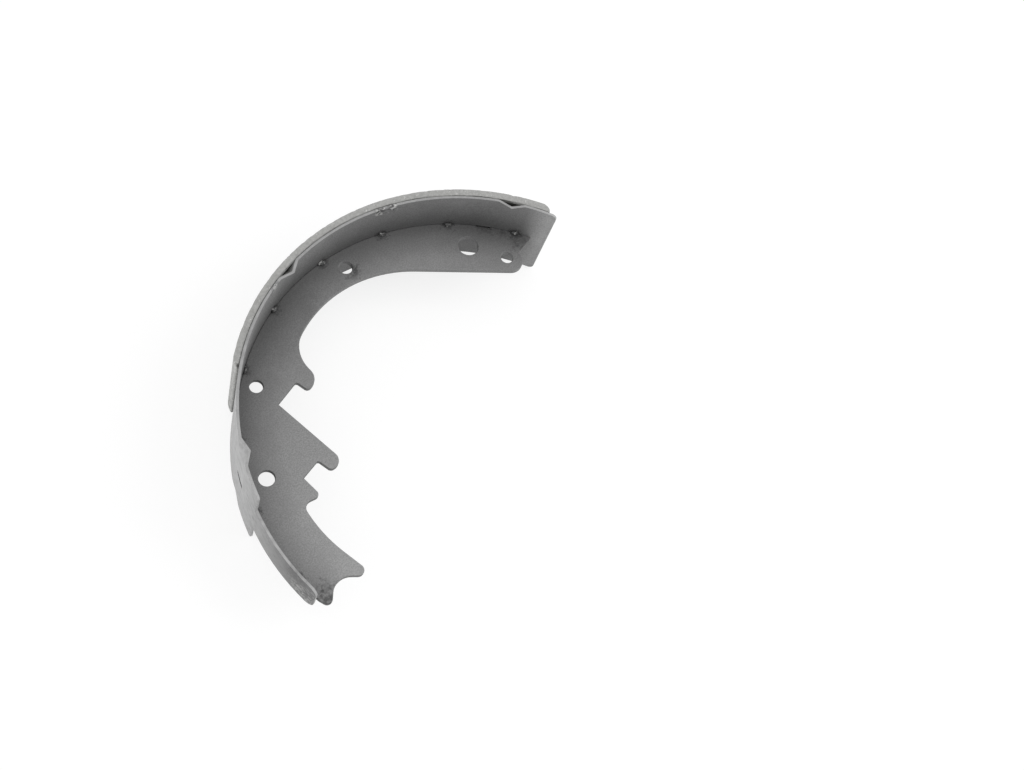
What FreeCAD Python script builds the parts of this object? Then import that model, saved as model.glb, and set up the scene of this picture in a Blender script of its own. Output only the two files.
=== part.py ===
import FreeCAD, Part
import itertools
import math
import os

# Primary shoe of an 11 inch drum brake, in millimetres and degrees.
# The drum axis is the Z axis, and the shoe lies on one edge of its table, at z = 0.
# Angles run round the drum axis from +X, and depths run from the table's inner face to the axis.

V = FreeCAD.Vector

# Drum, lining and table
DRUM_R = 139.7
RUNNING_GAP = 1.6
LINING_W = 57.15
LINING_TOE_T = 5.2
LINING_HEEL_T = 3.7
BOND_T = 0.25
BOND_INSET = 0.4
TABLE_T = 1.6
TABLE_W = 59.0
TAIL_W = 24.5
WEB_T = 3.2

# Ends round the drum
TABLE_START_DEG = 22.95
STEP_DEG = 158.2
TABLE_END_DEG = 181.2
LINING_START_DEG = 25.1
LINING_END_DEG = 126.5
WEB_START_DEG = 26.8
WEB_END_DEG = 181.9

# Lining ends: length and height of each bevel, and how far it bulges
TOE_BEVEL_L = 4.6
TOE_BEVEL_H = 2.8
HEEL_BEVEL_L = 6.6
HEEL_BEVEL_H = 2.6
BEVEL_BULGE = 0.5

# Corner rounds of the table blank
TOE_CORNER_R = 3.3
STEP_CORNER_R = 2.0
TAIL_CORNER_R = 5.5

# Nibs pressed into both edges of the table, clear of the lining
NIB_DEGS = (34.9, 98.0, 146.8)
NIB_HALF_L = 8.6
NIB_DEPTH = 3.4
NIB_REACH = 4.6
NIB_OVERCUT = 0.8

# Slots through the table that locate the web, and the relief in the web's edge behind each
SLOT_DEGS = (39.5, 148.2)
SLOT_L = 9.2
SLOT_W = 2.8
RELIEF_DEPTH = 1.2

# Weld beads in the corners between web and table: full over WELD_TOP_L, tapered to WELD_L
WELD_COUNT = 9
WELD_START_DEG = 31.2
WELD_PITCH_DEG = 17.95
WELD_LEG = 2.1
WELD_L = 5.0
WELD_TOP_L = 2.4

# Holes in the web
ADJUSTER_HOLE_DEG = 32.2
ADJUSTER_HOLE_DEPTH = 18.24
ADJUSTER_HOLE_R = 3.65
PIVOT_HOLE_DEG = 44.0
PIVOT_HOLE_DEPTH = 14.5
PIVOT_HOLE_R = 6.1
HOLD_DOWN_HOLE_DEG = 80.7
HOLD_DOWN_HOLE_DEPTH = 10.4
HOLD_DOWN_HOLE_R = 3.95
STRUT_HOLE_DEG = 124.55
STRUT_HOLE_DEPTH = 8.5
STRUT_HOLE_R = 3.7
SPRING_HOLE_DEG = 149.7
SPRING_HOLE_DEPTH = 11.9
SPRING_HOLE_R = 4.4

# Inner edge of the web from the adjuster end to the anchor end. DEG is an angle round the drum
# and DEPTH a depth below the table; TURN and OFFSET are the same from the round before.
# RUN keeps two rounds apart, for the straight run between them, and RISE is a height above the waist.
LOBE_DEG = 30.97
LOBE_DEPTH = 19.37
LOBE_R = 7.4
LOBE_NOOK_TURN = -3.0
CROWN_DEG = 91.3
CROWN_DEPTH = 19.8
ARCH_R = 75.3
SHOULDER_TURN = 110.0
SHOULDER_R = 19.7
CLAW_R = 7.7
CLAW_ROOT_TURN = 198.8
CLAW_ROOT_OFFSET = 4.65
STRUT_CORNER_DEG = 128.6
STRUT_CORNER_DEPTH = 22.0
HOOK_DEG = 148.37
HOOK_DEPTH = 46.07
HOOK_R = 5.3
HOOK_TIP_TURN = 248.0
HOOK_ROOT_TURN = 156.7
HOOK_ROOT_OFFSET = 6.07
SPUR_CORNER_DEG = 152.3
SPUR_CORNER_RISE = 4.3
SPUR_DEG = 158.07
SPUR_RISE = 5.43
TIP_R = 2.5
ROOT_R = 1.3
SHARP_R = 0.4
SPUR_RUN = 0.59
NOOK_R = 4.4
WAIST_DEG = 173.4
WAIST_DEPTH = 26.6
WAIST_R = 79.3
WAIST_RUN = 0.834

# Seat for the anchor pin, between two rounded horns
ANCHOR_DEG = 186.87
ANCHOR_DEPTH = 13.25
ANCHOR_R = 9.5
INNER_HORN_TURN = 29.3
INNER_HORN_R = 3.2
OUTER_HORN_TURN = 145.5
OUTER_HORN_R = 2.8
HORN_FLANK = 0.5

# Two rounds that touch are drawn this far apart, so that a run joins them
EASE = 0.02

TABLE_OUT_R = DRUM_R - RUNNING_GAP - LINING_TOE_T - BOND_T
TABLE_IN_R = TABLE_OUT_R - TABLE_T
LINING_IN_R = TABLE_OUT_R + BOND_T
MID_Z = TABLE_W / 2


def polar(angle, radius, centre=(0.0, 0.0)):
    """Point at an angle and a distance from a centre."""
    turn = math.radians(angle)
    return centre[0] + radius * math.cos(turn), centre[1] + radius * math.sin(turn)


def inside(angle, depth=0.0):
    """Point at an angle round the drum and a depth below the table."""
    return polar(angle, TABLE_IN_R - depth)


def at(angle, radius, height=0.0):
    """Vector at an angle round the drum, a radius and a height."""
    x, y = polar(angle, radius)
    return V(x, y, height)


def run_between(first, second):
    """Ends of the straight run that leaves one round and meets the next."""
    (x1, y1), r1 = first
    (x2, y2), r2 = second
    span = math.hypot(x2 - x1, y2 - y1)
    way = math.atan2(y2 - y1, x2 - x1) + math.asin((r1 - r2) / span)
    side = V(math.sin(way), -math.cos(way), 0)
    return V(x1, y1, 0) + side * r1, V(x2, y2, 0) + side * r2


def round_edge(centre, radius, start, end):
    """Arc of one round: it turns left with a plus radius and right with a minus one."""
    low, high = (start, end) if radius > 0 else (end, start)
    first = math.atan2(low.y - centre[1], low.x - centre[0])
    last = math.atan2(high.y - centre[1], high.x - centre[0])
    half = (last - first) % (2 * math.pi) / 2
    x, y = polar(math.degrees(first + half), abs(radius), centre)
    return Part.Arc(start, V(x, y, 0), end).toShape()


def outline(chain, rim_middle):
    """Face inside a chain of (centre, radius) rounds, 0 for a corner, closed by an arc along the rim."""
    runs = [run_between(one, other) for one, other in zip(chain, chain[1:])]
    edges = [Part.makeLine(leave, meet) for leave, meet in runs]
    for place, (centre, radius) in enumerate(chain[1:-1]):
        if radius:
            edges.append(round_edge(centre, radius, runs[place][1], runs[place + 1][0]))
    edges.append(Part.Arc(runs[-1][1], rim_middle, runs[0][0]).toShape())
    return Part.Face(Part.Wire(Part.sortEdges(edges)[0]))


def ring(inner, outer, start, end, bottom, height):
    """Stretch of a flat ring round the drum axis."""
    base = V(0, 0, bottom)
    up = V(0, 0, 1)
    pie = Part.makeCylinder(outer, height, base, up, end - start)
    stretch = pie.cut(Part.makeCylinder(inner, height, base, up))
    stretch.rotate(V(0, 0, 0), up, start)
    return stretch


def arc_block(angle, length, below, above, width):
    """Block along the rim, from below the table's inner face to above it, centred on the web."""
    half = math.degrees(length / 2 / TABLE_IN_R)
    inner = TABLE_IN_R - below
    outer = TABLE_IN_R + above
    return ring(inner, outer, angle - half, angle + half, MID_Z - width / 2, width)


def beside(first, reach, second, other_reach):
    """Point at given distances from two points, on the left of the way between them."""
    way = math.degrees(math.atan2(second[1] - first[1], second[0] - first[0]))
    span = math.dist(first, second)
    along = (reach ** 2 - other_reach ** 2 + span ** 2) / (2 * span)
    return polar(way + math.degrees(math.acos(along / reach)), reach, first)


def horn(turn, radius):
    """Centre of a rounded horn at the edge of the anchor seat."""
    return polar(turn, ANCHOR_R + radius + HORN_FLANK, inside(ANCHOR_DEG, ANCHOR_DEPTH))


def anchor_end():
    """Rounds from the table past the anchor seat to the waist."""
    inner_horn = horn(INNER_HORN_TURN, INNER_HORN_R)
    off_horn = WAIST_R + INNER_HORN_R + WAIST_RUN
    waist = beside(inside(WAIST_DEG, WAIST_DEPTH), WAIST_R, inner_horn, off_horn)
    spur = inside(SPUR_DEG, WAIST_DEPTH + SPUR_RISE)
    nook = beside(waist, WAIST_R - NOOK_R + EASE, spur, NOOK_R + TIP_R + SPUR_RUN)
    return [
        (inside(WEB_END_DEG), 0.0),
        (horn(OUTER_HORN_TURN, OUTER_HORN_R), OUTER_HORN_R),
        (inside(ANCHOR_DEG, ANCHOR_DEPTH), -ANCHOR_R),
        (inner_horn, INNER_HORN_R),
        (waist, -WAIST_R),
        (nook, -NOOK_R),
    ]


def spur_and_hook():
    """Rounds of the two teeth that stand beside the strut notch."""
    hook = inside(HOOK_DEG, HOOK_DEPTH)
    return [
        (inside(SPUR_DEG, WAIST_DEPTH + SPUR_RISE), TIP_R),
        (inside(SPUR_CORNER_DEG, WAIST_DEPTH + SPUR_CORNER_RISE), -SHARP_R),
        (polar(HOOK_ROOT_TURN, HOOK_ROOT_OFFSET, hook), -ROOT_R),
        (polar(HOOK_TIP_TURN, HOOK_R - TIP_R + EASE, hook), TIP_R),
        (hook, HOOK_R),
        (inside(STRUT_CORNER_DEG, STRUT_CORNER_DEPTH), -SHARP_R),
    ]


def claw_and_arch():
    """Rounds from the strut notch along the arch to the adjuster end."""
    arch = polar(-90, ARCH_R, inside(CROWN_DEG, CROWN_DEPTH))
    shoulder = polar(SHOULDER_TURN, ARCH_R - SHOULDER_R + EASE, arch)
    claw = polar(180, SHOULDER_R + CLAW_R + EASE, shoulder)
    lobe = inside(LOBE_DEG, LOBE_DEPTH)
    return [
        (polar(CLAW_ROOT_TURN, CLAW_ROOT_OFFSET, claw), -ROOT_R),
        (polar(-90, CLAW_R - TIP_R + EASE, claw), TIP_R),
        (claw, CLAW_R),
        (shoulder, -SHOULDER_R),
        (arch, -ARCH_R),
        (lobe, LOBE_R),
        (polar(LOBE_NOOK_TURN, LOBE_R + EASE, lobe), 0.0),
        (inside(WEB_START_DEG), 0.0),
    ]


def web():
    """Stamped plate: one outline, five pierced holes and two reliefs behind the table's slots."""
    chain = anchor_end() + spur_and_hook() + claw_and_arch()
    face = outline(chain, at((WEB_START_DEG + WEB_END_DEG) / 2, TABLE_IN_R))
    face.translate(V(0, 0, MID_Z - WEB_T / 2))
    plate = face.extrude(V(0, 0, WEB_T))
    holes = (
        (ADJUSTER_HOLE_DEG, ADJUSTER_HOLE_DEPTH, ADJUSTER_HOLE_R),
        (PIVOT_HOLE_DEG, PIVOT_HOLE_DEPTH, PIVOT_HOLE_R),
        (HOLD_DOWN_HOLE_DEG, HOLD_DOWN_HOLE_DEPTH, HOLD_DOWN_HOLE_R),
        (STRUT_HOLE_DEG, STRUT_HOLE_DEPTH, STRUT_HOLE_R),
        (SPRING_HOLE_DEG, SPRING_HOLE_DEPTH, SPRING_HOLE_R),
    )
    for angle, depth, radius in holes:
        plate = plate.cut(Part.makeCylinder(radius, TABLE_W, at(angle, TABLE_IN_R - depth)))
    for angle in SLOT_DEGS:
        plate = plate.cut(arc_block(angle, SLOT_L, RELIEF_DEPTH, TABLE_T, TABLE_W))
    return plate


def corner_edges(shape, angle, half_width):
    """The two edges through the table's thickness at an angle and a distance from its middle."""
    found = []
    for height in (MID_Z - half_width, MID_Z + half_width):
        spot = at(angle, (TABLE_IN_R + TABLE_OUT_R) / 2, height)
        found += [edge for edge in shape.Edges if edge.CenterOfMass.distanceToPoint(spot) < 0.01]
    return found


def nib(angle, radius, edge, inward):
    """Wedge that dips below a radius at the table's edge and fades out across the table."""
    grow = 1 + NIB_OVERCUT / NIB_DEPTH
    middle = at(angle, radius + NIB_OVERCUT, edge)
    along = at(angle + 90, NIB_HALF_L * grow)
    dip = at(angle, radius - NIB_DEPTH, edge)
    fade = middle + V(0, 0, inward * NIB_REACH * grow)
    corners = (middle - along, middle + along, dip, fade)
    faces = [Part.Face(Part.makePolygon([a, b, c, a])) for a, b, c in itertools.combinations(corners, 3)]
    wedge = Part.Solid(Part.Shell(faces))
    if wedge.Volume < 0:
        wedge.reverse()
    return wedge


def table():
    """Rolled strip: wide under the lining, narrow along the tail, with nibs and locating slots."""
    wide = ring(TABLE_IN_R, TABLE_OUT_R, TABLE_START_DEG, STEP_DEG, 0, TABLE_W)
    tail = ring(TABLE_IN_R, TABLE_OUT_R, STEP_DEG, TABLE_END_DEG, MID_Z - TAIL_W / 2, TAIL_W)
    strip = wide.fuse(tail).removeSplitter()
    strip = strip.makeFillet(TOE_CORNER_R, corner_edges(strip, TABLE_START_DEG, TABLE_W / 2))
    strip = strip.makeFillet(STEP_CORNER_R, corner_edges(strip, STEP_DEG, TABLE_W / 2))
    strip = strip.makeFillet(TAIL_CORNER_R, corner_edges(strip, TABLE_END_DEG, TAIL_W / 2))
    for angle in NIB_DEGS:
        for edge, inward in ((0.0, 1), (TABLE_W, -1)):
            strip = strip.fuse(nib(angle, TABLE_IN_R, edge, inward))
            strip = strip.cut(nib(angle, TABLE_OUT_R, edge, inward))
    for angle in SLOT_DEGS:
        strip = strip.cut(arc_block(angle, SLOT_L, TABLE_T, 2 * TABLE_T, SLOT_W))
    return strip


def bond():
    """Film of adhesive, set back a little from the lining's edges."""
    back = math.degrees(BOND_INSET / LINING_IN_R)
    width = LINING_W - 2 * BOND_INSET
    return ring(TABLE_OUT_R, LINING_IN_R, LINING_START_DEG + back, LINING_END_DEG - back, MID_Z - width / 2, width)


def lining_end(angle, thickness, bevel_length, bevel_height):
    """End face and rounded bevel of the lining; a minus length bevels towards lower angles."""
    outer = LINING_IN_R + thickness
    foot = at(angle, LINING_IN_R)
    brow = at(angle, outer - bevel_height)
    top = at(angle + math.degrees(bevel_length / outer), outer)
    bevel = Part.Arc(brow, (brow + top) * 0.5 + at(angle, BEVEL_BULGE), top).toShape()
    return foot, top, [Part.makeLine(foot, brow), bevel]


def lining():
    """Friction block with both ends bevelled, ground a little thinner towards its heel."""
    toe_foot, toe_top, toe_edges = lining_end(LINING_START_DEG, LINING_TOE_T, TOE_BEVEL_L, TOE_BEVEL_H)
    heel_foot, heel_top, heel_edges = lining_end(LINING_END_DEG, LINING_HEEL_T, -HEEL_BEVEL_L, HEEL_BEVEL_H)
    middle = (LINING_START_DEG + LINING_END_DEG) / 2
    crown = at(middle, LINING_IN_R + (LINING_TOE_T + LINING_HEEL_T) / 2)
    outer = Part.Arc(toe_top, crown, heel_top).toShape()
    inner = Part.Arc(toe_foot, at(middle, LINING_IN_R), heel_foot).toShape()
    edges = Part.sortEdges(toe_edges + heel_edges + [outer, inner])[0]
    face = Part.Face(Part.Wire(edges))
    face.translate(V(0, 0, MID_Z - LINING_W / 2))
    return face.extrude(V(0, 0, LINING_W))


def bead(angle):
    """Weld metal in the corner above the web: a flat-faced fillet with tapered ends."""
    seat_r = math.sqrt(TABLE_IN_R ** 2 - (WELD_L / 2) ** 2)
    root = at(angle, seat_r, MID_Z + WEB_T / 2)
    along = at(angle + 90, 1.0)
    on_web = at(angle, -WELD_LEG)
    on_table = V(0, 0, WELD_LEG)
    tip_a = root - along * (WELD_L / 2)
    tip_b = root + along * (WELD_L / 2)
    top_a = root - along * (WELD_TOP_L / 2)
    top_b = root + along * (WELD_TOP_L / 2)
    sides = [
        (tip_a, top_a + on_web, top_b + on_web, tip_b),
        (tip_a, tip_b, top_b + on_table, top_a + on_table),
        (top_a + on_web, top_a + on_table, top_b + on_table, top_b + on_web),
        (tip_a, top_a + on_table, top_a + on_web),
        (tip_b, top_b + on_web, top_b + on_table),
    ]
    faces = [Part.Face(Part.makePolygon(corners + corners[:1])) for corners in sides]
    return Part.makeSolid(Part.makeShell(faces))


def welds():
    """Beads at every weld point, the same above and below the web."""
    above = [bead(WELD_START_DEG + number * WELD_PITCH_DEG) for number in range(WELD_COUNT)]
    below = [one.mirror(V(0, 0, MID_Z), V(0, 0, 1)) for one in above]
    return Part.makeCompound(above + below)


os.makedirs("parts", exist_ok=True)
for name, shape in (
    ("web", web()),
    ("table", table()),
    ("bond", bond()),
    ("lining", lining()),
    ("welds", welds()),
):
    shape.exportStep("parts/" + name + ".step")
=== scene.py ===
import math

import bmesh
import bpy
from mathutils import Matrix, Vector, noise


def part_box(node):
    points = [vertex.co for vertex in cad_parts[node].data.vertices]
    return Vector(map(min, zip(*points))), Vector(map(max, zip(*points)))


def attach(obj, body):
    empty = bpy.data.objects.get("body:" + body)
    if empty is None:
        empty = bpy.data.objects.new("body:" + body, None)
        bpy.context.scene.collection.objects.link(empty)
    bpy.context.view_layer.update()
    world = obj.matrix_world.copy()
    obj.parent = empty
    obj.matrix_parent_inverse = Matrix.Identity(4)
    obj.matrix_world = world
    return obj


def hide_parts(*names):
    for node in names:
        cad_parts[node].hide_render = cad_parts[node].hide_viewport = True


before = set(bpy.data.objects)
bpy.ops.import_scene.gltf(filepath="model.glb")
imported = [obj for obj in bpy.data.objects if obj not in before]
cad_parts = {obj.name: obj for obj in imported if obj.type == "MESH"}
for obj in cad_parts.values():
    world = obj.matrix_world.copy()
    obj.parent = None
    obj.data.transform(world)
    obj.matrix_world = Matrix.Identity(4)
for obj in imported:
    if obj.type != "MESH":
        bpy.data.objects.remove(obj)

bl_info = {
    "name": "Drum Brake Shoe",
    "version": (1, 0, 0),
    "blender": (4, 5, 0),
    "location": "3D View > Sidebar > Brake Shoe",
    "description": "Dresses the web, table, welds, adhesive and lining of a drum brake shoe",
    "category": "Object",
}

MM = 0.001

# Faces that meet at more than this are an edge or a pressed crease, and are rounded or kept sharp
EDGE_ANGLE = math.radians(32)
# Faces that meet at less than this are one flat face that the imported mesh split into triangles
FLAT_ANGLE = math.radians(0.2)
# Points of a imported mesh, and of a cut edge, that are closer than this are one, in mm
MERGED = 0.001
CUT_MERGED = 0.02

# Welds round the drum's axis, on both faces of the web: the first, and the step to the next
WELD_FIRST = math.radians(31.2)
WELD_STEP = math.radians(17.95)
# A bead against the leg of its solid: its half sizes, and how far it sits out of the corner
BEAD_FORM = (0.74, 1.2, 0.74)
BEAD_OUT = 0.3

# Sizes of the lumps on a bead's skin and of the chips along the lining's edges, in mm
BEAD_LUMP = 1.3
EDGE_CHIP = 2.2

# Grain sizes of the patterns, in mm. Phosphate crystals are some 0.02 mm across and grinding lines
# some 0.1 mm wide, too fine to show, so both are drawn as coarse as they need to be to show
COATING_CRYSTAL = 0.8
COATING_CLOUD = 14.0
DIRT_OUTLINE = 2.2
DIRT_DRIFT = 9.0
DIRT_SMEAR = 2.0
BURN_OUTLINE = 1.6
RUBBED_PATCH = 5.0
WEAR_FLECK = 1.8
FILLER_GRAIN = 1.6
METAL_CHIP = 1.2
GRINDING_LENGTH = 26.0
GRINDING_STRETCH = (1, 1, 55)
CREPT_EDGE = 4.0
FILM_PATCH = 16.0
WELD_GLINT = 1.6

# Where noise is as good as at its lowest and highest
NOISE_LOW = 0.3
NOISE_HIGH = 0.7
# How far the outline of a stain, and the edge of the dirt and painted shade along the corners,
# swing in and out
OUTLINE_SWING = 0.4
DRIFT_SWING = 0.15

# Depths of the coating's crystals and of the pits between the fillers, in mm
CRYSTAL_DEPTH = 0.05
FILLER_DEPTH = 0.15

# Dark stains on the web's face, in mm: centre, and the distances where they start and stop fading.
# The third and fourth lie in the toe's corner with the table and are dirt and painted shade
WEB_STAINS_AND_SHADE = (
    ((-127.0, -6.5, 31.0), 4.0, 9.5),
    ((108.3, 62.0, 31.0), 1.0, 8.0),
    ((107.2, 75.0, 31.0), 1.0, 6.5),
    ((100.5, 82.0, 31.0), 1.0, 4.5),
    ((20.4, 114.6, 31.0), 3.0, 6.0),
)
# Soft clouds of painted shade on the web near its corner with the table, in mm, and how strong they
# are: left of the crown, and at the toe
WEB_SHADE_CLOUDS = (
    ((-31.0, 125.0, 31.0), 8.0, 34.0, 0.22),
    ((92.0, 72.0, 31.0), 9.0, 30.0, 0.14),
)
# Flecked wear on the table, in mm, and how strong it is: scuffs of the rim, and the tail's end
TABLE_WEAR = (
    ((46.5, 121.8, 58.0), 1.5, 5.0, 0.8),
    ((54.0, 119.8, 58.5), 1.5, 5.0, 0.8),
    ((-31.1, 127.3, 58.6), 1.0, 5.5, 0.5),
    ((-132.5, 4.0, 26.0), 5.0, 14.0, 0.38),
)
# Dark marks on the table, in mm, and how strong they are: painted shade in the channel at the toe,
# painted shade along the hollow of the open nib, a mark under the step, and marks near the tail's
# end
TABLE_MARKS_AND_SHADE = (
    ((95.0, 90.0, 36.0), 4.0, 18.0, 0.3),
    ((-105.3, 77.9, 57.5), 0.3, 1.7, 0.4),
    ((-106.6, 74.7, 57.5), 0.3, 1.7, 0.4),
    ((-108.0, 71.4, 57.5), 0.3, 1.7, 0.4),
    ((-122.9, 49.9, 29.6), 0.5, 1.8, 0.5),
    ((-132.2, 10.5, 37.0), 2.0, 9.0, 0.4),
    ((-132.5, 3.0, 30.0), 1.0, 5.0, 0.4),
)
# Dirt and painted shade in the tail's slot and a dark mark at the lining's heel, in mm, as the
# stains are given
SLOT_DIRT_AND_SHADE = ((-112.7, 70.0, 29.5), 7.0, 9.0)
HEEL_MARK = ((-78.2, 107.8, 58.0), 0.4, 1.5)

# Faces that other pieces and patterns follow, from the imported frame
WEB_MIDDLE = sum(corner.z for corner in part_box("web")) / 2
WEB_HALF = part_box("web")[1].z - WEB_MIDDLE
TABLE_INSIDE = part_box("web")[1].y
LINING_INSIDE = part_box("bond")[1].y

# Softboxes: name, place and side in metres, and watts; and the point that they face
SOFTBOXES = (
    ("key_softbox", (0.75, -0.65, 1.0), 0.9, 6.5),
    ("fill_softbox", (-1.0, 0.2, 0.4), 0.9, 1.5),
)
SOFTBOX_AIM = (0, 0.06, 0)
# Strength of the surrounding light on the shoe, and where it is seen
SURROUND_LIGHT = 0.8
SURROUND_SEEN = 1.0
# Half side of the floor in metres, its drop under the shoe in mm, how much of its colour is left
# where it is seen, and the light that whitens it there
FLOOR_HALF = 3.0
FLOOR_DROP = 0.2
FLOOR_SEEN = 0.25
FLOOR_WHITENED = 0.8

# The photograph's camera, solved from the shoe itself: place in metres, its three directions, lens
# on a 36 mm sensor, and the nearest distance that it shows, in metres
CAMERA_AT = (-0.317076, -0.083630, 0.691902)
CAMERA_RIGHT = (0.6278405, -0.7420089, 0.2350299)
CAMERA_UP = (0.6234019, 0.6601863, 0.4189559)
CAMERA_BACK = (-0.4660325, -0.1165194, 0.8770615)
CAMERA_LENS = 47.08
CAMERA_NEAREST = 0.01


def linear(code):
    """Linear colour of an sRGB hex value."""
    parts = [int(code[at:at + 2], 16) / 255 for at in (1, 3, 5)]
    return [
        part / 12.92 if part < 0.04045 else ((part + 0.055) / 1.055) ** 2.4 for part in parts
    ] + [1.0]


def colour(name, description, code):
    """Colour property with a default given as an sRGB hex value."""
    return bpy.props.FloatVectorProperty(
        name=name,
        description=description,
        default=linear(code),
        size=4,
        min=0,
        max=1,
        subtype="COLOR",
    )


def length(name, description, millimetres):
    """Length property with a default given in millimetres."""
    return bpy.props.FloatProperty(
        name=name,
        description=description,
        default=millimetres * MM,
        min=0,
        precision=5,
        unit="LENGTH",
    )


class ShoeSizes(bpy.types.PropertyGroup):
    """Small sizes that finish the pieces."""

    web_edge: length("Web edge", "Width of the rounded edge that blanking leaves on the web", 0.55)
    table_edge: length("Table edge", "Width of the rounded sheared edge of the table", 0.35)
    lining_edge: length("Lining edge", "Width of the worn edge of the lining", 0.45)
    lining_chip: length("Lining chips", "Depth of the small chips along the lining's edges", 0.4)
    lining_cut: length("Lining cuts", "Spacing of the cuts that let its edges be uneven", 1.5)
    weld_lump: length("Weld lumps", "How uneven the skin of a weld bead is", 0.35)


class ShoeColours(bpy.types.PropertyGroup):
    """Colours of the finishes and of the floor."""

    coat: colour("Coating", "Grey coating on the stamped steel", "#9D9D9D")
    coat_speck: colour("Coating specks", "Darker specks in the coating", "#878787")
    # Also painted shade in the corners of web and table, in the tail's slot, the open nib and the
    # toe's channel
    dark_marks_and_shade: colour("Soiling", "Dark soiling in the corner between web and table", "#333333")
    bare: colour("Bare steel", "Sheared edges and the table's rubbed outer face", "#B4B4B4")
    bare_dull: colour("Bare steel, dull", "Darker patches of the bare steel", "#9C9C9C")
    handled: colour("Handled steel", "Dull steel of the table's narrow tail", "#3E3E3E")
    # Paler than the moulded sides partly as painted light on the ground face
    friction: colour("Friction block", "Ground face of the friction material", "#CECECC")
    moulded: colour("Friction block sides", "Moulded sides of the friction material", "#A9A9A7")
    filler: colour("Friction fillers", "Dark fillers in the friction material", "#7A7A78")
    # Also the painted glints on the welds
    chip: colour("Metal chips", "Bright metal chips in the friction material", "#C8C8C6")
    # Also painted shade of the gap between the lining and the table
    adhesive: colour("Adhesive", "Cured adhesive between the lining and the table", "#4A4A48")
    weld: colour("Weld", "Oxidised weld metal", "#3C3C3C")
    floor: colour("Floor", "Studio floor", "#F2F2F2")


def node(tree, kind, inputs=(), **settings):
    """Adds a shader node with its settings, fills or links its sockets, and returns its outputs."""
    made = tree.nodes.new("ShaderNode" + kind)
    for name, value in settings.items():
        setattr(made, name, value)
    filled = inputs if isinstance(inputs, dict) else dict(enumerate(inputs))
    for socket, value in filled.items():
        if isinstance(value, bpy.types.NodeSocket):
            tree.links.new(value, made.inputs[socket])
        else:
            made.inputs[socket].default_value = value
    return made.outputs


def layered(tree, shade, *layers):
    """Shade with layers laid over it in turn, each a mask and a colour."""
    for mask, over in layers:
        shade = node(tree, "Mix", {0: mask, 6: shade, 7: over}, data_type="RGBA")[2]
    return shade


def meeting(tree, shared, *masks):
    """Mask of where several masks meet."""
    for mask in masks:
        shared = node(tree, "Math", (shared, mask), operation="MULTIPLY")[0]
    return shared


def diagonal(tree, first, second):
    """Distance whose parts along and across are given."""
    both = node(tree, "CombineXYZ", (first, second))[0]
    return node(tree, "VectorMath", (both,), operation="LENGTH")["Value"]


def place(tree):
    """Place on the shoe along X, Y and Z, in metres."""
    return node(tree, "SeparateXYZ", (node(tree, "TexCoord")["Object"],))


def along(tree, axis, start_mm, end_mm, start=0.0, end=1.0):
    """Value that goes from start to end between two places along an axis of the shoe, in mm."""
    return node(tree, "MapRange", (place(tree)[axis], start_mm * MM, end_mm * MM, start, end))[0]


def grain(tree, size_mm, detail, low, high, start=0.0, end=1.0, roughness=0.5, stretch=(1, 1, 1)):
    """Pattern of grains of a size in millimetres: start where the noise is low, end where high."""
    spot = node(tree, "TexCoord")["Object"]
    spot = node(tree, "Mapping", {"Vector": spot, "Scale": stretch})[0]
    form = {"Vector": spot, "Scale": 1 / (size_mm * MM), "Detail": detail, "Roughness": roughness}
    return node(tree, "MapRange", (node(tree, "TexNoise", form)["Fac"], low, high, start, end))[0]


def ragged(tree, distance, size_mm, swing):
    """Distance made uneven by noise, by up to a share of it either way."""
    uneven = grain(tree, size_mm, 3.0, NOISE_LOW, NOISE_HIGH, 1 - swing, 1 + swing)
    return node(tree, "Math", (distance, uneven), operation="MULTIPLY")[0]


def near(tree, centre_mm, inner_mm, outer_mm):
    """Mask that is 1 near a point and fades to 0 at a distance, with a ragged outline."""
    centre = [part * MM for part in centre_mm]
    spot = node(tree, "TexCoord")["Object"]
    away = node(tree, "VectorMath", (spot, centre), operation="DISTANCE")["Value"]
    away = ragged(tree, away, DIRT_OUTLINE, OUTLINE_SWING)
    return node(tree, "MapRange", (away, inner_mm * MM, outer_mm * MM, 1.0, 0.0))[0]


def marked(tree, shade, marks, over):
    """Shade with a colour laid over it near points, each as strong as its mark says."""
    for centre, inner, outer, strength in marks:
        mask = meeting(tree, near(tree, centre, inner, outer), strength)
        shade = layered(tree, shade, (mask, over))
    return shade


def level_place(tree):
    """Place on the shoe seen along the drum's axis, as a vector from that axis."""
    spot = node(tree, "TexCoord")["Object"]
    return node(tree, "VectorMath", (spot, (1, 1, 0)), operation="MULTIPLY")[0]


def drum_distance(tree):
    """Distance from the drum's axis, in metres."""
    return node(tree, "VectorMath", (level_place(tree),), operation="LENGTH")["Value"]


def outward(tree):
    """How far a face looks away from the drum's axis: 1 outside, -1 inside, 0 at the edges."""
    radial = node(tree, "VectorMath", (level_place(tree),), operation="NORMALIZE")[0]
    normal = node(tree, "NewGeometry")["True Normal"]
    return node(tree, "VectorMath", (radial, normal), operation="DOT_PRODUCT")["Value"]


def corner_distance(tree):
    """Distance from the nearest corner between web and table, in metres."""
    inward = node(tree, "Math", (TABLE_INSIDE, drum_distance(tree)), operation="SUBTRACT")[0]
    off = node(tree, "Math", (place(tree)["Z"], WEB_MIDDLE), operation="SUBTRACT")[0]
    off = node(tree, "Math", (off,), operation="ABSOLUTE")[0]
    off = node(tree, "Math", (off, WEB_HALF), operation="SUBTRACT")[0]
    off = node(tree, "Math", (off, 0.0), operation="MAXIMUM")[0]
    return diagonal(tree, inward, off)


def before_toe(tree):
    """Mask of the shoe up to the web's toe end."""
    return along(tree, "X", 113, 119, 1.0, 0.0)


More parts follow.
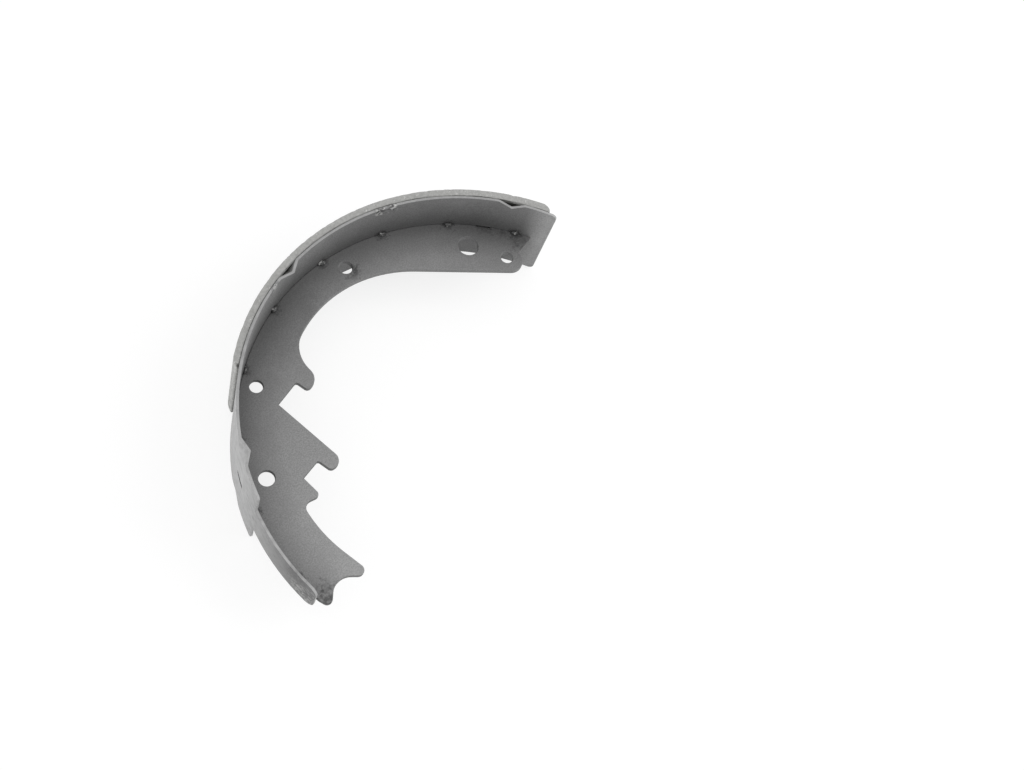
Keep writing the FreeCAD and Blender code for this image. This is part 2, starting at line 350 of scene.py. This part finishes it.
def corner_dirt_and_shade(tree):
    """Mask of dirt and painted shade in the corners of web and table, less at the tail, none past
    the web.
    """
    away = ragged(tree, corner_distance(tree), DIRT_DRIFT, DRIFT_SWING)
    reach = node(tree, "MapRange", (away, 3 * MM, 24 * MM, 0.55, 0.0))[0]
    tail = along(tree, "Y", 10, 90, 0.6, 1.0)
    ends = node(tree, "Math", (tail, before_toe(tree)), operation="MINIMUM")[0]
    return meeting(tree, reach, ends)


def dirt_film_and_shade(tree, start_mm, end_mm, most):
    """Mask of a film of dirt and painted shade that grows from the tail over the crown, none past
    the web.
    """
    spot = place(tree)
    across = node(tree, "Math", (spot["X"], spot["Y"]), operation="ADD")[0]
    film = node(tree, "MapRange", (across, start_mm * MM, end_mm * MM, 0.0, most))[0]
    return meeting(tree, film, before_toe(tree))


def weld_burn(tree):
    """Mask of the burnt coating round each weld."""
    spot = place(tree)
    turn = node(tree, "Math", (spot["Y"], spot["X"]), operation="ARCTAN2")[0]
    turn = node(tree, "Math", (turn, WELD_FIRST), operation="SUBTRACT")[0]
    turn = node(tree, "Math", (turn, WELD_STEP / 2, -WELD_STEP / 2), operation="WRAP")[0]
    aside = node(tree, "Math", (turn, TABLE_INSIDE), operation="MULTIPLY")[0]
    away = diagonal(tree, aside, corner_distance(tree))
    away = ragged(tree, away, BURN_OUTLINE, OUTLINE_SWING)
    return node(tree, "MapRange", (away, 2.0 * MM, 4.6 * MM, 0.85, 0.0))[0]


def crept_adhesive_and_gap_shade(tree):
    """Mask of adhesive and painted shade of the gap on the lining's sides: a line beside the table,
    wider at the toe.
    """
    uneven = grain(tree, CREPT_EDGE, 3.0, NOISE_LOW, NOISE_HIGH, -0.2 * MM, 0.2 * MM)
    away = node(tree, "Math", (drum_distance(tree), uneven), operation="ADD")[0]
    width = along(tree, "X", -60, 20, 0.1 * MM, 0.6 * MM)
    away = node(tree, "Math", (away, width), operation="SUBTRACT")[0]
    line = (away, LINING_INSIDE, LINING_INSIDE + 0.4 * MM, 1.0, 0.0)
    line = node(tree, "MapRange", line)[0]
    patch = grain(tree, FILM_PATCH, 2.0, 0.42, 0.6, 0.6, 1.0)
    line = meeting(tree, line, along(tree, "X", -60, 90, 0.1, 1.0), patch)
    return node(tree, "Math", (line, near(tree, *HEEL_MARK)), operation="MAXIMUM")[0]


def material(name):
    """New material with nodes; returns it, its tree and its main shader."""
    made = bpy.data.materials.new(name)
    made.use_nodes = True
    return made, made.node_tree, made.node_tree.nodes["Principled BSDF"]


def coated_shade(tree, colours, film):
    """Colour and crystals of the grey coating under dirt and painted shade."""
    crystal = grain(tree, COATING_CRYSTAL, 2.0, 0.35, 0.65, roughness=0.6)
    cloud = grain(tree, COATING_CLOUD, 3.0, 0.35, 0.7, 0.0, 0.3)
    shade = layered(
        tree,
        colours.coat_speck,
        (crystal, colours.coat),
        (cloud, colours.coat_speck),
        # Dirt and painted shade in the corners, then a film of dirt and painted shade towards the
        # crown
        (corner_dirt_and_shade(tree), colours.dark_marks_and_shade),
        (film, colours.dark_marks_and_shade),
        (weld_burn(tree), colours.dark_marks_and_shade),
    )
    return shade, crystal


def finish_steel(tree, shader, shade, crystal, dull, glossy):
    """Links the colour, roughness and crystals of a steel face to its shader."""
    rough = node(tree, "MapRange", (crystal, 0.0, 1.0, dull, glossy))[0]
    bump = node(tree, "Bump", {"Strength": 0.3, "Distance": CRYSTAL_DEPTH * MM, "Height": crystal})
    tree.links.new(shade, shader.inputs["Base Color"])
    tree.links.new(rough, shader.inputs["Roughness"])
    tree.links.new(bump[0], shader.inputs["Normal"])


def web_steel(colours):
    """Low carbon steel, blanked, with a thin grey phosphate coating.

    The eye sees an even mid grey with a fine speckle and a soft broad sheen, darker towards the
    table and the crown by dirt and painted shade, with soft clouds of painted shade near the table,
    darker along the blanked edges of its tail half, and rough dark patches beside the anchor seat,
    beside the hold-down hole and at the toe, those in the toe's corner partly painted shade.
    """
    made, tree, shader = material("blanked_steel_phosphated")
    shade, crystal = coated_shade(tree, colours, dirt_film_and_shade(tree, -100, 50, 0.3))
    smear = grain(tree, DIRT_SMEAR, 3.0, 0.38, 0.62, 0.1, 0.85)
    # Stains, those in the toe's corner partly painted shade
    shade = marked(tree, shade, [stain + (smear,) for stain in WEB_STAINS_AND_SHADE], colours.dark_marks_and_shade)
    # Soft clouds of painted shade near the table
    shade = marked(tree, shade, WEB_SHADE_CLOUDS, colours.dark_marks_and_shade)
    flat = node(tree, "SeparateXYZ", (node(tree, "NewGeometry")["Normal"],))["Z"]
    flat = node(tree, "Math", (flat,), operation="ABSOLUTE")[0]
    edge = node(tree, "MapRange", (flat, 0.5, 0.97, 1.0, 0.0))[0]
    edge = meeting(tree, edge, along(tree, "X", -70, -10, 0.6, 0.12))
    shade = layered(tree, shade, (edge, colours.dark_marks_and_shade))
    finish_steel(tree, shader, shade, crystal, dull=0.62, glossy=0.5)
    return made


def table_steel(colours):
    """Low carbon strip, rolled and sheared, coated inside and rubbed bare outside.

    The eye sees the coated grey inside with dirt and painted shade in its corners, channel, slot
    and open nib, dark adhesive and painted gap shade along the lining, paler bare steel with dull
    patches along the sheared edges and a painted highlight on the tail's rim, and handled dark
    steel on the tail's outer face.
    """
    made, tree, shader = material("rolled_strip_rubbed_bare")
    shade, crystal = coated_shade(tree, colours, dirt_film_and_shade(tree, -60, 150, 0.5))
    patch = grain(tree, RUBBED_PATCH, 4.0, 0.42, 0.68, roughness=0.6, stretch=(1, 1, 2))
    bare = layered(tree, colours.bare, (patch, colours.bare_dull))
    facing = outward(tree)
    # Bare steel on the sheared rim, stronger along the tail as a painted highlight
    rim = node(tree, "MapRange", (facing, -0.75, -0.35))[0]
    rim = meeting(tree, rim, along(tree, "Y", 50, 66, 0.75, 0.55))
    handled = along(tree, "Y", 15, 66, 0.75, 0.0)
    handled = meeting(tree, handled, along(tree, "Z", 12, 42, 0.8, 1.15))
    outside = node(tree, "MapRange", (facing, 0.4, 0.8))[0]
    # Adhesive on the outer edge beside the lining, with painted shade of the gap between them
    glued_and_gap_shade = node(tree, "MapRange", (facing, 0.55, 0.75))[0]
    glued_and_gap_shade = meeting(tree, glued_and_gap_shade, along(tree, "X", -81, -79), along(tree, "X", -70, 10, 0.35, 1.0))
    shade = layered(
        tree,
        shade,
        (rim, bare),
        (outside, layered(tree, bare, (handled, colours.handled))),
        (glued_and_gap_shade, colours.adhesive),
    )
    fleck = grain(tree, WEAR_FLECK, 2.0, 0.46, 0.62)
    shade = marked(tree, shade, TABLE_WEAR, layered(tree, colours.dark_marks_and_shade, (fleck, colours.chip)))
    # Marks, with painted shade in the toe's channel and along the open nib's hollow
    shade = marked(tree, shade, TABLE_MARKS_AND_SHADE, colours.dark_marks_and_shade)
    # Dirt and painted shade on the walls of the tail's slot
    wall = node(tree, "Math", (facing,), operation="ABSOLUTE")[0]
    wall = node(tree, "MapRange", (wall, 0.4, 0.7, 0.8, 0.0))[0]
    slot = meeting(tree, near(tree, *SLOT_DIRT_AND_SHADE), wall)
    shade = layered(tree, shade, (slot, colours.dark_marks_and_shade))
    finish_steel(tree, shader, shade, crystal, dull=0.6, glossy=0.46)
    return made


def friction_block(colours):
    """Moulded friction material, ground to radius.

    The eye sees a dry mid grey with dark fillers, a few bright metal chips and fine grinding lines,
    a ground face paler partly by painted light, and dark adhesive that has crept onto its sides
    beside the table, with painted shade of the gap there.
    """
    made, tree, shader = material("friction_block_ground")
    filler = grain(tree, FILLER_GRAIN, 4.0, 0.4, 0.64, 0.0, 0.65, roughness=0.7)
    chip = grain(tree, METAL_CHIP, 1.0, 0.68, 0.74)
    line = grain(tree, GRINDING_LENGTH, 2.0, 0.35, 0.65, 0.0, 0.35, stretch=GRINDING_STRETCH)
    # The ground face paler than the sides: its ground finish, and painted light on that face
    ground = node(tree, "MapRange", (outward(tree), 0.5, 0.9))[0]
    opened = node(tree, "MapRange", (ground, 0.0, 1.0, 0.65, 1.0))[0]
    shade = layered(
        tree,
        colours.moulded,
        (ground, colours.friction),
        (meeting(tree, filler, opened), colours.filler),
        (chip, colours.chip),
        (meeting(tree, ground, line), colours.filler),
        # Adhesive and painted shade of the gap beside the table
        (crept_adhesive_and_gap_shade(tree), colours.adhesive),
    )
    bump = node(tree, "Bump", {"Strength": 0.5, "Distance": FILLER_DEPTH * MM, "Height": filler})
    tree.links.new(shade, shader.inputs["Base Color"])
    tree.links.new(bump[0], shader.inputs["Normal"])
    shader.inputs["Roughness"].default_value = 0.85
    return made


def adhesive_film(colours):
    """Phenolic adhesive, cured in an oven.

    The eye sees a thin dark line with a faint gloss, paler where the squeezed-out film is thin,
    paler towards the tail as painted light over the shade of the groove, and dark film in the gaps
    behind the nibs.
    """
    made, tree, shader = material("phenolic_adhesive_cured")
    patch = grain(tree, FILM_PATCH, 2.0, 0.42, 0.6, 0.4, 0.0)
    # Paler in patches, and paler towards the tail as painted light over the groove's shade
    thin = (patch, along(tree, "X", -60, 10, 0.9, 0.2))
    thin = node(tree, "Math", thin, operation="MAXIMUM")[0]
    squeezed = node(tree, "MapRange", (outward(tree), -0.9, -0.6))[0]
    shade = layered(tree, colours.adhesive, (meeting(tree, thin, squeezed), colours.moulded))
    tree.links.new(shade, shader.inputs["Base Color"])
    shader.inputs["Roughness"].default_value = 0.5
    return made


def weld_metal(colours):
    """Mild steel welds, oxidised: dark, with small bright glints painted into the colour."""
    made, tree, shader = material("weld_metal_oxidised")
    painted_glint = grain(tree, WELD_GLINT, 2.0, 0.56, 0.66)
    # Painted glints: bright spots in the colour
    shade = layered(tree, colours.weld, (painted_glint, colours.chip))
    tree.links.new(shade, shader.inputs["Base Color"])
    shader.inputs["Roughness"].default_value = 0.35
    return made


def node_mesh(name):
    """Bmesh of a CAD node: its triangles merged, and those of one flat face joined."""
    mesh = bmesh.new()
    mesh.from_mesh(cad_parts[name].data)
    bmesh.ops.remove_doubles(mesh, verts=mesh.verts, dist=MERGED * MM)
    bmesh.ops.dissolve_limit(mesh, angle_limit=FLAT_ANGLE, verts=mesh.verts, edges=mesh.edges)
    return mesh


def true_edges(mesh):
    """Edges where two faces meet at more than the edge angle."""
    return [edge for edge in mesh.edges if edge.is_manifold and edge.calc_face_angle() > EDGE_ANGLE]


def round_edges(mesh, width):
    """Rounds the edges by a width."""
    bmesh.ops.bevel(
        mesh,
        geom=true_edges(mesh),
        offset=width,
        offset_type="OFFSET",
        segments=2,
        profile=0.5,
        affect="EDGES",
        clamp_overlap=False,
        material=-1,
    )


def finish_piece(mesh, name, finish, slot, *nodes):
    """Piece made from a bmesh: shaded smooth but for its edges, riding on the shoe."""
    for face in mesh.faces:
        face.smooth = True
    for edge in true_edges(mesh):
        edge.smooth = False
    data = bpy.data.meshes.new(name)
    mesh.to_mesh(data)
    mesh.free()
    data.materials.append(finish)
    piece = bpy.data.objects.new(name, data)
    bpy.context.scene.collection.objects.link(piece)
    even = piece.modifiers.new("Even shading", "WEIGHTED_NORMAL")
    even.keep_sharp = True
    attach(piece, "root")
    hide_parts(*nodes)
    return piece


class SHOE_OT_web(bpy.types.Operator):
    """Stamped web with the rounded edges that blanking leaves"""

    bl_idname = "brake_shoe.web"
    bl_label = "Stamped web"

    def execute(self, context):
        mesh = node_mesh("web")
        round_edges(mesh, context.scene.shoe_sizes.web_edge)
        finish = web_steel(context.scene.shoe_colours)
        finish_piece(mesh, "stamped_web", finish, "coated_steel", "web")
        return {"FINISHED"}


class SHOE_OT_table(bpy.types.Operator):
    """Rolled table with its nibs, slots and sheared edges"""

    bl_idname = "brake_shoe.table"
    bl_label = "Rolled table"

    def execute(self, context):
        mesh = node_mesh("table")
        round_edges(mesh, context.scene.shoe_sizes.table_edge)
        finish = table_steel(context.scene.shoe_colours)
        finish_piece(mesh, "rolled_table", finish, "coated_steel", "table")
        return {"FINISHED"}


class SHOE_OT_lining(bpy.types.Operator):
    """Friction lining with worn, slightly chipped edges"""

    bl_idname = "brake_shoe.lining"
    bl_label = "Friction lining"

    def execute(self, context):
        sizes = context.scene.shoe_sizes
        mesh = node_mesh("lining")
        self.cut_round(mesh, sizes.lining_cut)
        round_edges(mesh, sizes.lining_edge)
        self.chip(mesh, sizes.lining_chip)
        finish = friction_block(context.scene.shoe_colours)
        finish_piece(mesh, "friction_lining", finish, "friction_block", "lining")
        return {"FINISHED"}

    def cut_round(self, mesh, spacing):
        """Cuts the block's skin by planes through the drum's axis."""
        turns = [math.atan2(vert.co.y, vert.co.x) for vert in mesh.verts]
        count = round((max(turns) - min(turns)) * LINING_INSIDE / spacing)
        for number in range(1, count):
            turn = min(turns) + (max(turns) - min(turns)) * number / count
            bmesh.ops.bisect_plane(
                mesh,
                geom=mesh.verts[:] + mesh.edges[:] + mesh.faces[:],
                dist=CUT_MERGED * MM,
                plane_co=(0, 0, 0),
                plane_no=(-math.sin(turn), math.cos(turn), 0),
            )

    def chip(self, mesh, depth):
        """Presses the skin's points in by an uneven depth."""
        mesh.normal_update()
        moves = [(vert, noise.noise(vert.co / (EDGE_CHIP * MM)) * depth) for vert in mesh.verts]
        for vert, move in moves:
            vert.co -= vert.normal * max(0.0, move)


class SHOE_OT_adhesive(bpy.types.Operator):
    """Finish of the adhesive film, whose solid is shown as it is"""

    bl_idname = "brake_shoe.adhesive"
    bl_label = "Adhesive film"

    def execute(self, context):
        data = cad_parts["bond"].data
        data.materials.clear()
        data.materials.append(adhesive_film(context.scene.shoe_colours))
        return {"FINISHED"}


class SHOE_OT_welds(bpy.types.Operator):
    """Lumpy weld beads in the corners between the web and the table"""

    bl_idname = "brake_shoe.welds"
    bl_label = "Weld beads"

    def execute(self, context):
        beads = bmesh.new()
        for low, high in self.boxes():
            self.bead(beads, low, high, context.scene.shoe_sizes.weld_lump)
        finish = weld_metal(context.scene.shoe_colours)
        finish_piece(beads, "weld_beads", finish, "coated_steel", "welds")
        return {"FINISHED"}

    def boxes(self):
        """Lowest and highest corner of the box round each solid of the welds node."""
        mesh = node_mesh("welds")
        left = set(mesh.verts)
        found = []
        while left:
            solid, waiting = [], [left.pop()]
            while waiting:
                vert = waiting.pop()
                solid.append(vert.co)
                beside = {edge.other_vert(vert) for edge in vert.link_edges} & left
                left -= beside
                waiting.extend(beside)
            low = Vector([min(spot[axis] for spot in solid) for axis in range(3)])
            high = Vector([max(spot[axis] for spot in solid) for axis in range(3)])
            found.append((low, high))
        mesh.free()
        return sorted(found, key=lambda box: (round(box[0].z, 4), box[0].x))

    def bead(self, beads, low, high, lump):
        """Adds one lumpy bead that sits in its corner."""
        middle = (low + high) / 2
        turn = math.atan2(middle.y, middle.x)
        leg = high.z - low.z
        side = 1 if middle.z > WEB_MIDDLE else -1
        centre = Vector((math.cos(turn), math.sin(turn), 0)) * (TABLE_INSIDE - BEAD_OUT * leg)
        centre.z = WEB_MIDDLE + side * (WEB_HALF + BEAD_OUT * leg)
        made = bmesh.ops.create_icosphere(beads, subdivisions=3, radius=1.0)["verts"]
        bmesh.ops.scale(beads, verts=made, vec=[part * leg for part in BEAD_FORM])
        round_axis = Matrix.Rotation(turn, 3, "Z")
        bmesh.ops.rotate(beads, verts=made, cent=(0, 0, 0), matrix=round_axis)
        bmesh.ops.translate(beads, verts=made, vec=centre)
        for vert in made:
            out = (vert.co - centre).normalized()
            vert.co -= out * lump * (0.5 + noise.noise(vert.co / (BEAD_LUMP * MM)))


class SHOE_OT_stage(bpy.types.Operator):
    """Pale floor, soft studio light and the camera"""

    bl_idname = "brake_shoe.stage"
    bl_label = "Studio stage"

    def execute(self, context):
        scene = context.scene
        scene.view_settings.view_transform = "Standard"
        self.floor(scene)
        self.world(scene)
        for softbox in SOFTBOXES:
            self.softbox(scene, *softbox)
        self.camera(scene)
        return {"FINISHED"}

    def floor(self, scene):
        """Large pale floor under the shoe, whiter to the camera but with the shoe's shadow."""
        mesh = bmesh.new()
        bmesh.ops.create_grid(mesh, x_segments=1, y_segments=1, size=FLOOR_HALF)
        bmesh.ops.translate(mesh, verts=mesh.verts, vec=(0, 0, -FLOOR_DROP * MM))
        data = bpy.data.meshes.new("studio_floor")
        mesh.to_mesh(data)
        mesh.free()
        # Matt coated paper: an even pale ground without a gleam
        made, tree, shader = material("studio_paper_matt")
        shader.inputs["Roughness"].default_value = 0.9
        shader.inputs["Specular IOR Level"].default_value = 0.0
        seen = self.seen(tree)
        paper = scene.shoe_colours.floor
        faint = [part * FLOOR_SEEN for part in paper[:3]] + [1.0]
        tree.links.new(layered(tree, paper, (seen, faint)), shader.inputs["Base Color"])
        shader.inputs["Emission Color"].default_value = (1, 1, 1, 1)
        whitened = meeting(tree, seen, FLOOR_WHITENED)
        tree.links.new(whitened, shader.inputs["Emission Strength"])
        data.materials.append(made)
        floor = bpy.data.objects.new("studio_floor", data)
        scene.collection.objects.link(floor)

    def seen(self, tree):
        """1 for what the camera sees, straight, mirrored or through glass, else 0."""
        path = node(tree, "LightPath")
        mirrored = (path["Is Glossy Ray"], path["Is Transmission Ray"])
        mirrored = node(tree, "Math", mirrored, operation="MAXIMUM")[0]
        return node(tree, "Math", (path["Is Camera Ray"], mirrored), operation="MAXIMUM")[0]

    def world(self, scene):
        """Even surrounding light, white where it is seen."""
        world = bpy.data.worlds.new("studio_surround")
        world.use_nodes = True
        tree = world.node_tree
        light = tree.nodes["Background"]
        light.inputs["Color"].default_value = (1, 1, 1, 1)
        strength = (self.seen(tree), 0.0, 1.0, SURROUND_LIGHT, SURROUND_SEEN)
        tree.links.new(node(tree, "MapRange", strength)[0], light.inputs["Strength"])
        scene.world = world

    def softbox(self, scene, name, spot, side, watts):
        """Square softbox that faces the shoe."""
        data = bpy.data.lights.new(name, "AREA")
        data.energy = watts
        data.size = side
        lamp = bpy.data.objects.new(name, data)
        lamp.location = spot
        back = Vector(spot) - Vector(SOFTBOX_AIM)
        lamp.rotation_euler = back.to_track_quat("Z", "Y").to_euler()
        scene.collection.objects.link(lamp)

    def camera(self, scene):
        """Camera with the place, turn and lens of the photograph."""
        data = bpy.data.cameras.new("photo_camera")
        data.lens = CAMERA_LENS
        data.clip_start = CAMERA_NEAREST
        camera = bpy.data.objects.new("photo_camera", data)
        turn = Matrix((CAMERA_RIGHT, CAMERA_UP, CAMERA_BACK)).transposed()
        camera.matrix_world = Matrix.Translation(CAMERA_AT) @ turn.to_4x4()
        scene.collection.objects.link(camera)
        scene.camera = camera


STEPS = (
    SHOE_OT_web,
    SHOE_OT_table,
    SHOE_OT_lining,
    SHOE_OT_adhesive,
    SHOE_OT_welds,
    SHOE_OT_stage,
)


class SHOE_PT_steps(bpy.types.Panel):
    """Lists the steps and their settings"""

    bl_label = "Brake Shoe"
    bl_idname = "SHOE_PT_steps"
    bl_space_type = "VIEW_3D"
    bl_region_type = "UI"
    bl_category = "Brake Shoe"

    def draw(self, context):
        for step in STEPS:
            self.layout.operator(step.bl_idname)
        for group in (context.scene.shoe_sizes, context.scene.shoe_colours):
            for name in group.__annotations__:
                self.layout.prop(group, name)


CLASSES = (ShoeSizes, ShoeColours) + STEPS + (SHOE_PT_steps,)


def register():
    for each in CLASSES:
        bpy.utils.register_class(each)
    bpy.types.Scene.shoe_sizes = bpy.props.PointerProperty(type=ShoeSizes)
    bpy.types.Scene.shoe_colours = bpy.props.PointerProperty(type=ShoeColours)


def unregister():
    del bpy.types.Scene.shoe_colours
    del bpy.types.Scene.shoe_sizes
    for each in reversed(CLASSES):
        bpy.utils.unregister_class(each)


def main():
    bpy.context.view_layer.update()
    register()
    bpy.ops.brake_shoe.web()
    bpy.ops.brake_shoe.table()
    bpy.ops.brake_shoe.lining()
    bpy.ops.brake_shoe.adhesive()
    bpy.ops.brake_shoe.welds()
    bpy.ops.brake_shoe.stage()


if __name__ == "__main__":
    main()
